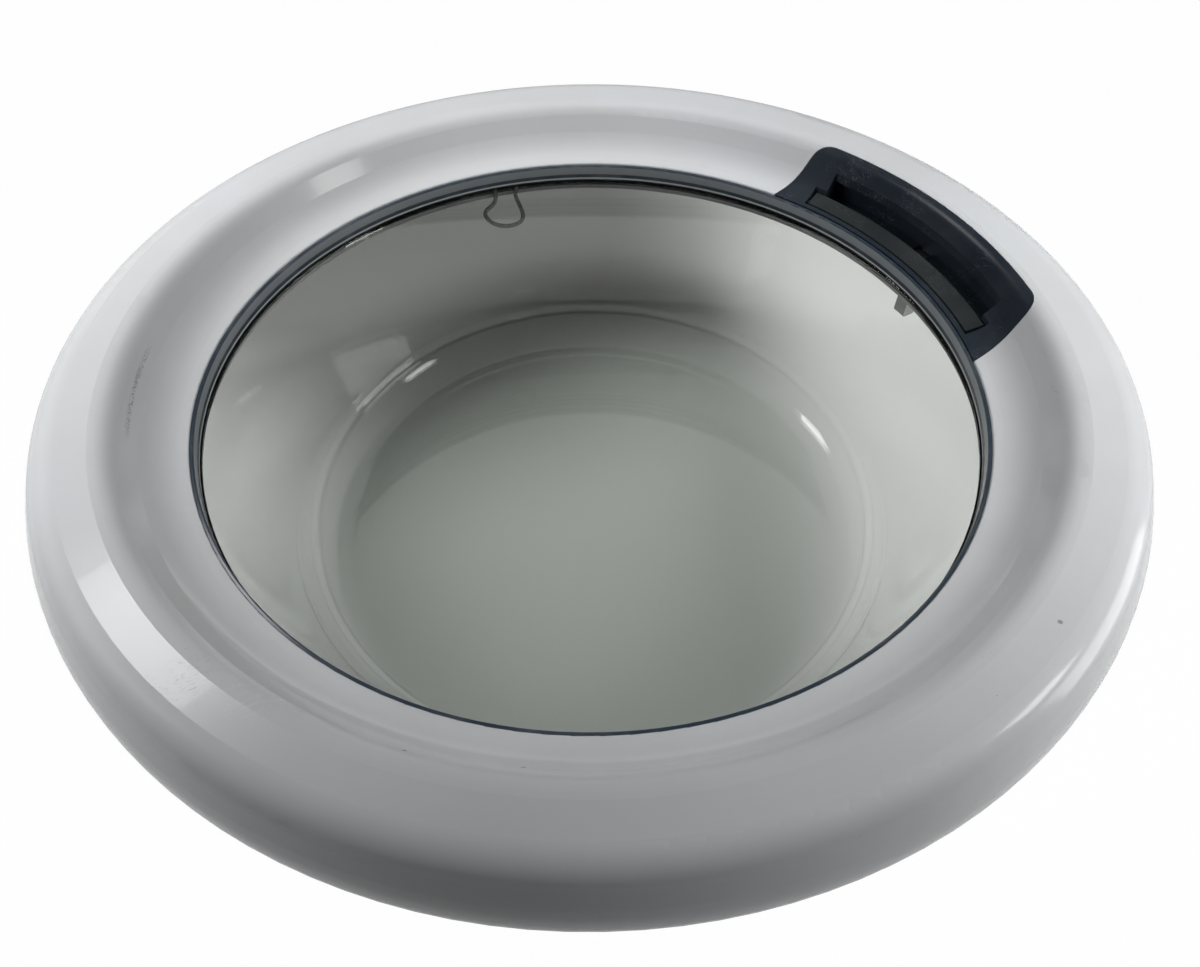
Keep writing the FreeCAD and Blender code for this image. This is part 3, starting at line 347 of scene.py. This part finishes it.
# Glossy trim between the ring and the glass, in bands from its foot up to its edge: painted shadow
# at the foot, a painted highlight line, navy, a painted reflection of the ring, a dark edge line
trimLook = {
    "foot": 0.0970,
    "top": 0.1062,
    # colours by height: a painted shadow line at the foot, a painted highlight line, a navy band,
    # a grey painted reflection of the ring and a dark line at the edge
    "bandsWithPaintedLight": [(0.00, (0.010, 0.013, 0.018)), (0.07, (0.010, 0.013, 0.018)),
              (0.11, (0.50, 0.52, 0.52)), (0.17, (0.50, 0.52, 0.52)),
              (0.21, (0.026, 0.038, 0.055)), (0.40, (0.030, 0.044, 0.062)),
              (0.46, (0.23, 0.25, 0.265)), (0.90, (0.27, 0.29, 0.305)),
              (0.95, (0.035, 0.05, 0.07))],
    "worn": (0.34, 0.36, 0.37),
    "wornShare": 0.15,
    "mottle": (40.0, 3.0, 0.45, 0.75),
    "gloss": 0.12,
    "grain": (300.0, 3.0),
    "grainGloss": 0.08,
}


def trimFinish():
    look = trimLook
    finish = Finish("rimTrim", IOR=1.5)
    mottle = finish.patches(*look["mottle"])
    share = (finish.height() - look["foot"]) / (look["top"] - look["foot"])
    stops = [(position, colour(*shade)) for position, shade in look["bandsWithPaintedLight"]]
    # the trim's colour laid in bands by height, painted shadow, highlight and reflection among
    # them
    bandedWithPaintedLight = finish.node("ShaderNodeValToRGB", {"stops": stops}, {"Fac": share})
    worn = finish.blend(mottle * look["wornShare"], bandedWithPaintedLight, colour(*look["worn"]))
    finish.feed("Base Color", worn)
    finish.feed("Roughness", look["gloss"] + finish.noise(*look["grain"]) * look["grainGloss"])
    return finish.material


# Satin black mouldings of the handle and its grip, with dust and finger scratches in the pocket
handleLook = {
    "kinds": {
        "handleNavy": {"dark": (0.017, 0.023, 0.033), "lit": (0.028, 0.036, 0.046), "gloss": 0.17},
        "gripGrey": {"dark": (0.017, 0.021, 0.023), "lit": (0.030, 0.036, 0.037), "gloss": 0.3},
    },
    "specular": 0.35,
    "mottle": (30.0, 4.0, 0.3, 0.75),
    "mottleGloss": 0.05,
    "grain": (1800.0, 2.0),
    "grainGloss": 0.08,
    "bump": (0.10, 0.0003),
    "dust": (0.22, 0.22, 0.22),
    "dustShare": 0.6,
    "dustTop": 0.112,
    "dustFade": 0.006,
    "dustAbove": 0.12,
    "fleck": (650.0, 3.0, 0.7),
    "fleckEdge": (0.66, 0.74),
    "dustPatches": (50.0, 2.0, 0.5, 0.66),
    "hair": (120.0, 3.0, 0.6, (6.0, 1.0, 2.0), 1.0),
    "hairRise": (0.520, 0.526),
    "hairFall": (0.531, 0.537),
    "hairPatches": (45.0, 1.0, 0.52, 0.62),
    "hairShare": 0.45,
}


def handleFinish(name):
    look = handleLook
    row = look["kinds"][name]
    finish = Finish(name, IOR=1.5, Specular_IOR_Level=look["specular"])
    dust = colour(*look["dust"])
    mottle = finish.patches(*look["mottle"])
    grain = finish.noise(*look["grain"])
    fleck = finish.ranged(finish.noise(*look["fleck"]), *look["fleckEdge"])
    patch = finish.patches(*look["dustPatches"])
    low = finish.ranged(finish.height(), look["dustTop"] - look["dustFade"], look["dustTop"],
                        1.0, look["dustAbove"])
    hair = finish.noise(*look["hair"])
    scratched = (finish.threads(hair, look["hairRise"], look["hairFall"])
                 * finish.patches(*look["hairPatches"]))
    base = finish.blend(mottle, colour(*row["dark"]), colour(*row["lit"]))
    base = finish.blend(scratched * look["hairShare"], base, dust)
    finish.feed("Base Color", finish.blend(fleck * patch * low * look["dustShare"], base, dust))
    finish.feed("Roughness", row["gloss"] + grain * look["grainGloss"]
                + mottle * look["mottleGloss"])
    finish.bump(grain, *look["bump"])
    return finish.material


# Steels, with a faint grain and cloudy plating
steelLook = {
    "kinds": {
        "hookZinc": {"bright": (0.52, 0.52, 0.54), "dull": (0.40, 0.40, 0.42), "gloss": 0.38,
                     "grain": 500.0},
        "springSteel": {"bright": (0.44, 0.44, 0.45), "dull": (0.34, 0.34, 0.35), "gloss": 0.3,
                        "grain": 900.0},
        "hingeZinc": {"bright": (0.54, 0.545, 0.56), "dull": (0.43, 0.435, 0.45), "gloss": 0.4,
                      "grain": 400.0},
        "pinSteel": {"bright": (0.60, 0.60, 0.61), "dull": (0.46, 0.465, 0.475), "gloss": 0.22,
                     "grain": 700.0},
        "screwZinc": {"bright": (0.60, 0.60, 0.61), "dull": (0.46, 0.465, 0.475), "gloss": 0.32,
                      "grain": 800.0},
    },
    "cloud": (70.0, 4.0, 0.35, 0.7),
    "cloudGloss": 0.12,
    "grain": (3.0, 0.6, (1.0, 1.0, 6.0)),
    "grainGloss": 0.08,
    "bump": (0.06, 0.0004),
}


def steelFinish(name):
    look = steelLook
    row = look["kinds"][name]
    finish = Finish(name, Metallic=1.0)
    cloud = finish.patches(*look["cloud"])
    grain = finish.noise(row["grain"], *look["grain"])
    finish.feed("Base Color", finish.blend(cloud, colour(*row["bright"]), colour(*row["dull"])))
    finish.feed("Roughness", row["gloss"] + cloud * look["cloudGloss"]
                + grain * look["grainGloss"])
    finish.bump(grain, *look["bump"])
    return finish.material


# Rubber and plain black mouldings
mattLook = {
    "kinds": {
        "sealRubber": {"base": (0.045, 0.045, 0.048), "dust": (0.10, 0.10, 0.10), "gloss": 0.6,
                       "grain": 900.0},
        "bufferRubber": {"base": (0.16, 0.16, 0.165), "dust": (0.24, 0.24, 0.24), "gloss": 0.65,
                         "grain": 900.0},
        "carrierMoulding": {"base": (0.05, 0.05, 0.054), "dust": (0.09, 0.09, 0.09), "gloss": 0.45,
                            "grain": 1500.0},
    },
    "bloom": (45.0, 4.0, 0.45, 0.8),
    "bloomShare": 0.6,
    "grainDetail": 2.0,
    "grainGloss": 0.12,
    "bump": (0.15, 0.0004),
}


def mattFinish(name):
    look = mattLook
    row = look["kinds"][name]
    finish = Finish(name, IOR=1.45)
    bloom = finish.patches(*look["bloom"]) * look["bloomShare"]
    grain = finish.noise(row["grain"], look["grainDetail"])
    finish.feed("Base Color", finish.blend(bloom, colour(*row["base"]), colour(*row["dust"])))
    finish.feed("Roughness", row["gloss"] + grain * look["grainGloss"])
    finish.bump(grain, *look["bump"])
    return finish.material


finishes = {
    "outer_ring": ringFinish(),
    "inner_frame": backFinish(),
    "door_glass": glassFinish(),
    "rim_trim": trimFinish(),
    "handle_cup": handleFinish("handleNavy"),
    "grip_lever": handleFinish("gripGrey"),
    "glass_gasket": mattFinish("sealRubber"),
    "door_buffers": mattFinish("bufferRubber"),
    "latch_carrier": mattFinish("carrierMoulding"),
    "latch_hook": steelFinish("hookZinc"),
    "hook_spring": steelFinish("springSteel"),
    "hinge_leaf": steelFinish("hingeZinc"),
    "hinge_pin": steelFinish("pinSteel"),
    "frame_screws": steelFinish("screwZinc"),
}
finishes["hinge_bracket"] = finishes["hinge_leaf"]
finishes["lever_pins"] = finishes["hook_pin"] = finishes["hinge_pin"]
finishes["pin_clips"] = finishes["hook_spring"]
finishes["hinge_bush_upper"] = finishes["hinge_bush_lower"] = finishes["latch_carrier"]
for group in ("handle_screws", "latch_screws", "hinge_screws"):
    finishes[group] = finishes["frame_screws"]
for label, piece in nodes.items():
    piece.data.materials.clear()
    piece.data.materials.append(finishes[label])
    for face in piece.data.polygons:
        face.material_index = 0
print("finishes made:", len(set(finishes.values())))

# Pan-head screws with a cross recess, in metres; the heads face the back of the door
screwLook = {
    "headRadius": 0.0036,
    "headHeight": 0.0024,
    # from the seat to the crown, as shares of the head's radius and height
    "headProfile": [(0.95, 0.0), (1.0, 0.08), (1.0, 0.40), (0.93, 0.66), (0.74, 0.87),
                    (0.42, 0.97)],
    "shankRadius": 0.0015,
    "tipShare": 0.35,
    "crossReach": 0.0020,
    "crossWidth": 0.0010,
    "crossDepth": 0.0013,
    "crossTaper": (0.55, 0.64),  # what is left at the bottom, along an arm and across it
    "cutterOver": 0.001,
    "sides": 28,
    "turnSpread": 1.57,
    "seed": 4,
    "sets": {
        "frame_screws": {"shank": 0.0120, "seat": 0.0955, "circle": 0.2220, "count": 8},
        "handle_screws": {"shank": 0.0100, "seat": 0.0955,
                          "spots": [(0.1870, -0.071), (0.1870, 0.071)]},
        "latch_screws": {"shank": 0.0050, "seat": 0.0935,
                         "spots": [(0.2040, -0.016), (0.2040, 0.016)]},
        "hinge_screws": {"shank": 0.0065, "seat": 0.1206,
                         "spots": [(-x, y) for x in (0.2205, 0.2105) for y in (-0.035, 0.035)]},
    },
}


def newObject(label, data):
    made = bpy.data.objects.new(label, data)
    scene.collection.objects.link(made)
    return made


def plainMesh(worked, label):
    # what an object's modifiers make of it, as a mesh of its own; the working object goes
    shown = worked.evaluated_get(bpy.context.evaluated_depsgraph_get())
    mesh = bpy.data.meshes.new_from_object(shown)
    mesh.name = label
    worked.modifiers.clear()
    bpy.data.objects.remove(worked)
    return mesh


def newPiece(label, mesh):
    piece = newObject(label, mesh)
    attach(piece, "door")
    return piece


def circle(count, radius, start=0.0):
    turns = [2 * math.pi * (k + start) / count for k in range(count)]
    return [(radius * math.cos(turn), radius * math.sin(turn)) for turn in turns]


def meshOf(made, label):
    mesh = bpy.data.meshes.new(label)
    made.to_mesh(mesh)
    made.free()
    return mesh


def turnedScrew(label, shank):
    # head below zero, shank above it, turned from one profile
    look = screwLook
    wide, tall, thin = look["headRadius"], look["headHeight"], look["shankRadius"]
    profile = [(thin * look["tipShare"], shank), (thin, shank - thin), (thin, 0)]
    profile += [(wide * out, -tall * down) for out, down in look["headProfile"]]
    made = bmesh.new()
    rings = []
    for radius, height in profile:
        rings.append([made.verts.new((x, y, height)) for x, y in circle(look["sides"], radius)])
    for upper, lower in zip(rings, rings[1:]):
        for k in range(look["sides"]):
            made.faces.new((upper[k - 1], lower[k - 1], lower[k], upper[k]))
    tip = made.verts.new((0, 0, shank))
    crown = made.verts.new((0, 0, -tall))
    for k in range(look["sides"]):
        made.faces.new((tip, rings[0][k - 1], rings[0][k]))
        made.faces.new((crown, rings[-1][k], rings[-1][k - 1]))
    bmesh.ops.recalc_face_normals(made, faces=made.faces)
    return meshOf(made, label)


def crossCutter(label):
    # two crossed blocks that narrow towards the bottom of the recess
    look = screwLook
    tall, reach, half = look["headHeight"], look["crossReach"], look["crossWidth"] / 2
    made = bmesh.new()
    for wideX, wideY in ((reach, half), (half, reach)):
        for corner in bmesh.ops.create_cube(made, size=2.0)["verts"]:
            deep = corner.co.z > 0
            along, across = look["crossTaper"] if deep else (1.0, 1.0)
            corner.co.x *= wideX * (along if wideX > wideY else across)
            corner.co.y *= wideY * (along if wideY > wideX else across)
            corner.co.z = -tall + look["crossDepth"] if deep else -tall - look["cutterOver"]
    return meshOf(made, label)


def screwMesh(label, shank):
    cross = newObject(label + "Cross", crossCutter(label + "Cross"))
    worked = newObject(label + "Blank", turnedScrew(label + "Turned", shank))
    cut = worked.modifiers.new("recess", "BOOLEAN")
    cut.operation = "DIFFERENCE"
    cut.solver = "EXACT"
    cut.use_self = True
    cut.object = cross
    mesh = plainMesh(worked, label)
    bpy.data.objects.remove(cross)
    return mesh


def screwTree():
    tree = bpy.data.node_groups.new("screwSet", "GeometryNodeTree")
    sockets = {}
    for label, kind in (("Seats", "Geometry"), ("Screw", "Object"), ("Turn Spread", "Float"),
                        ("Seed", "Int"), ("Finish", "Material")):
        made = tree.interface.new_socket(label, in_out="INPUT", socket_type="NodeSocket" + kind)
        sockets[label] = made.identifier
    tree.interface.new_socket("Screws", in_out="OUTPUT", socket_type="NodeSocketGeometry")
    enter = tree.nodes.new("NodeGroupInput")
    leave = tree.nodes.new("NodeGroupOutput")
    source = tree.nodes.new("GeometryNodeObjectInfo")
    turn = tree.nodes.new("FunctionNodeRandomValue")
    turn.data_type = "FLOAT"
    aim = tree.nodes.new("ShaderNodeCombineXYZ")
    place = tree.nodes.new("GeometryNodeInstanceOnPoints")
    solid = tree.nodes.new("GeometryNodeRealizeInstances")
    paint = tree.nodes.new("GeometryNodeSetMaterial")
    floats = [socket for socket in turn.inputs if socket.type == "VALUE"]
    link = tree.links.new
    link(enter.outputs["Screw"], source.inputs["Object"])
    link(enter.outputs["Turn Spread"], floats[1])
    link(enter.outputs["Seed"], turn.inputs["Seed"])
    link([socket for socket in turn.outputs if socket.type == "VALUE"][0], aim.inputs["Z"])
    link(enter.outputs["Seats"], place.inputs["Points"])
    link(source.outputs["Geometry"], place.inputs["Instance"])
    link(aim.outputs["Vector"], place.inputs["Rotation"])
    link(place.outputs["Instances"], solid.inputs["Geometry"])
    link(solid.outputs["Geometry"], paint.inputs["Geometry"])
    link(enter.outputs["Finish"], paint.inputs["Material"])
    link(paint.outputs["Geometry"], leave.inputs["Screws"])
    return tree, sockets


def makeScrews():
    tree, sockets = screwTree()
    for label, row in screwLook["sets"].items():
        spots = row["spots"] if "spots" in row else circle(row["count"], row["circle"], 0.5)
        single = newObject(label + "One", screwMesh(label + "One", row["shank"]))
        seats = bpy.data.meshes.new(label + "Seats")
        seats.from_pydata([(x, y, row["seat"]) for x, y in spots], [], [])
        worked = newObject(label + "Worked", seats)
        modifier = worked.modifiers.new("screws", "NODES")
        modifier.node_group = tree
        modifier[sockets["Screw"]] = single
        modifier[sockets["Turn Spread"]] = screwLook["turnSpread"]
        modifier[sockets["Seed"]] = screwLook["seed"]
        modifier[sockets["Finish"]] = finishes[label]
        mesh = plainMesh(worked, label + "_cross")
        bpy.data.objects.remove(single)
        piece = newPiece(label + "_cross", mesh)
        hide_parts(label)
        print("screws:", label, len(spots), "faces", len(mesh.polygons))


makeScrews()


def makeSpring():
    mesh = nodes["hook_spring"].data.copy()
    mesh.name = "hook_spring_leaf"
    piece = newObject("hook_spring_leaf", mesh)
    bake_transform(piece)
    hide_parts("hook_spring")
    print("spring:", len(mesh.polygons), "faces")


makeSpring()

# A moulded bead on the outside of the bowl, bell shaped, just under the rim
markLook = {
    "turn": 79.0,
    "bead": 0.0013,
    "beadRounding": 3,
    "steps": 8,
    "shade": (0.20, 0.205, 0.19),
    "clear": 0.6,
    "gloss": 0.08,
    "top": 0.0955,
    "outline": [(-0.0050, 0.0000), (-0.0048, -0.0050), (-0.0070, -0.0085), (-0.0125, -0.0110),
                (-0.0135, -0.0140), (-0.0090, -0.0195), (0.0000, -0.0225), (0.0085, -0.0210),
                (0.0105, -0.0165), (0.0075, -0.0080), (0.0066, -0.0040), (0.0085, 0.0000)],
    "wallRadius": 0.1813,  # outside of the glass at the ring's back plane
    "wallLean": 0.3185,
}


def makeMark():
    look = markLook
    line = bpy.data.curves.new("bowlMarkLine", "CURVE")
    line.dimensions = "3D"
    line.bevel_depth = look["bead"]
    line.bevel_resolution = look["beadRounding"]
    line.resolution_u = look["steps"]
    line.use_fill_caps = True
    path = line.splines.new("NURBS")
    path.points.add(len(look["outline"]) - 1)
    for point, (side, rise) in zip(path.points, look["outline"]):
        height = look["top"] + rise
        radius = look["wallRadius"] - look["wallLean"] * (shot["ringBack"] - height)
        turn = math.radians(look["turn"]) - side / radius
        point.co = (radius * math.cos(turn), radius * math.sin(turn), height, 1.0)
    path.order_u = 3
    path.use_endpoint_u = True
    mesh = plainMesh(newObject("bowlMarkLine", line), "bowl_mark")
    mesh.materials.clear()
    finish = Finish("markGlass", Base_Color=colour(*look["shade"]),
                    Transmission_Weight=look["clear"], IOR=1.5, Roughness=look["gloss"])
    mesh.materials.append(finish.material)
    for face in mesh.polygons:
        face.use_smooth = True
    newPiece("bowl_mark", mesh)
    print("bowl mark:", len(mesh.polygons), "faces")


makeMark()


# Pale floor that stays white round the door, with plain shade under it, a painted shadow under the
# far left of the door and painted light glowing under its right side
floorLook = {
    "size": 6.0,
    "drop": 0.0002,
    "roughness": 0.9,
    "white": (0.82, 0.82, 0.82),
    # deep is a painted shadow colour, laid under the far left of the door
    "deep": (0.22, 0.22, 0.215),
    "paintedShadowMiddle": (-0.12, 0.27, 0),
    "paintedShadowReach": (0.13, 0.31),
    "shadeMiddle": (0, 0.13, 0),
    "shadeReach": (0.30, 0.345),
    # painted light: where the floor under the right of the door starts to glow white, and how much
    "paintedLightFrom": (0.07, 0.19),
    "bright": 0.58,
    "glow": 0.985,
    "glossShare": 0.35,
}


def makeFloor():
    look = floorLook
    half = look["size"] / 2
    mesh = bpy.data.meshes.new("floor")
    corners = [(-half, -half, 0), (half, -half, 0), (half, half, 0), (-half, half, 0)]
    mesh.from_pydata(corners, [], [(0, 1, 2, 3)])
    floor = newObject("floor", mesh)
    floor.location.z = -look["drop"]
    finish = Finish("floorWhite", Roughness=look["roughness"])
    # painted shadow: the floor's colour is darker under the far left of the door, where little
    # light gets in
    deep = finish.near(fromShot(*look["paintedShadowMiddle"]), *look["paintedShadowReach"])
    finish.feed("Base Color", finish.blend(deep, colour(*look["white"]), colour(*look["deep"])))
    seen = finish.larger(finish.ray("Is Camera Ray"),
                         finish.ray("Is Glossy Ray") * look["glossShare"])
    seen = finish.larger(seen, finish.ray("Is Transmission Ray"))
    shaded = finish.near(fromShot(*look["shadeMiddle"]), *look["shadeReach"])
    # painted light: under the right side of the door the floor partly glows white, as if lit from
    # the right
    right = finish.node("ShaderNodeVectorMath", {"operation": "DOT_PRODUCT"},
                        {0: finish.place, 1: fromShot(1, 0, 0)}, "Value")
    shaded = shaded * (1 - finish.ranged(right, *look["paintedLightFrom"]) * look["bright"])
    white = finish.node("ShaderNodeEmission", {}, {"Color": colour(1, 1, 1), "Strength": 1.0})
    finish.layer(seen * (1 - shaded) * look["glow"], finish.surface, white)
    mesh.materials.append(finish.material)


makeFloor()

# Soft panels, from and towards places in the shot measured from the middle of the ring's back
panels = {
    "nearLeft": {"spot": (-0.43, 0.02, 0.25), "aim": (-0.22, 0.02, 0.03), "size": (0.40, 0.24),
                 "watts": 0.54, "spread": 85, "gloss": False},
    "nearRight": {"spot": (0.40, -0.02, 0.30), "aim": (0.21, -0.02, 0.03), "size": (0.40, 0.24),
                  "watts": 0.46, "spread": 80, "gloss": False},
    "farTop": {"spot": (-0.05, 0.30, 0.42), "aim": (-0.05, 0.27, 0.03), "size": (0.50, 0.20),
               "watts": 0.41, "spread": 85, "gloss": False},
    "lowRight": {"spot": (1.38, -0.10, 0.24), "aim": (0, 0, 0), "size": (0.70, 0.60),
                 "watts": 3.6, "spread": 180, "gloss": True},
    "ceilingLeft": {"spot": (-0.62, 0.54, 1.02), "aim": (0, 0, 0), "size": (0.20, 0.20),
                    "watts": 1.0, "spread": 180, "gloss": True},
    "sideRight": {"spot": (1.0, -0.21, 0.72), "aim": (0, 0, 0), "size": (0.25, 0.20),
                  "watts": 0.9, "spread": 180, "gloss": True},
}


def makeLights():
    lift = Vector((0, 0, shot["ringBack"]))
    for label, panel in panels.items():
        data = bpy.data.lights.new(label, "AREA")
        data.shape = "RECTANGLE"
        data.size, data.size_y = panel["size"]
        data.energy = panel["watts"]
        data.spread = math.radians(panel["spread"])
        lamp = newObject(label, data)
        lamp.visible_camera = False
        lamp.visible_glossy = panel["gloss"]
        lamp.visible_transmission = panel["gloss"]
        spot = fromShot(*panel["spot"])
        lamp.location = spot + lift
        lamp.rotation_mode = "QUATERNION"
        lamp.rotation_quaternion = (fromShot(*panel["aim"]) - spot).to_track_quat("-Z", "Y")
    print("lights placed:", len(panels))


makeLights()

# Dim all round, and white where it is looked at
worldLook = {"dim": (0.044, 0.046, 0.048), "white": (1, 1, 1)}


def makeWorld():
    world = bpy.data.worlds.new("studio")
    world.use_nodes = True
    weave = Weave(world.node_tree, "World Output")
    dim, white = [weave.node("ShaderNodeBackground", {}, {"Color": colour(*worldLook[label])})
                  for label in ("dim", "white")]
    # what is seen through the glass, but not the light that falls through it on to the floor
    through = weave.ray("Is Transmission Ray") * (weave.ray("Diffuse Depth") < 0.5)
    weave.layer(weave.larger(weave.ray("Is Camera Ray"), through), dim, white)
    scene.world = world
    print("world made")


makeWorld()
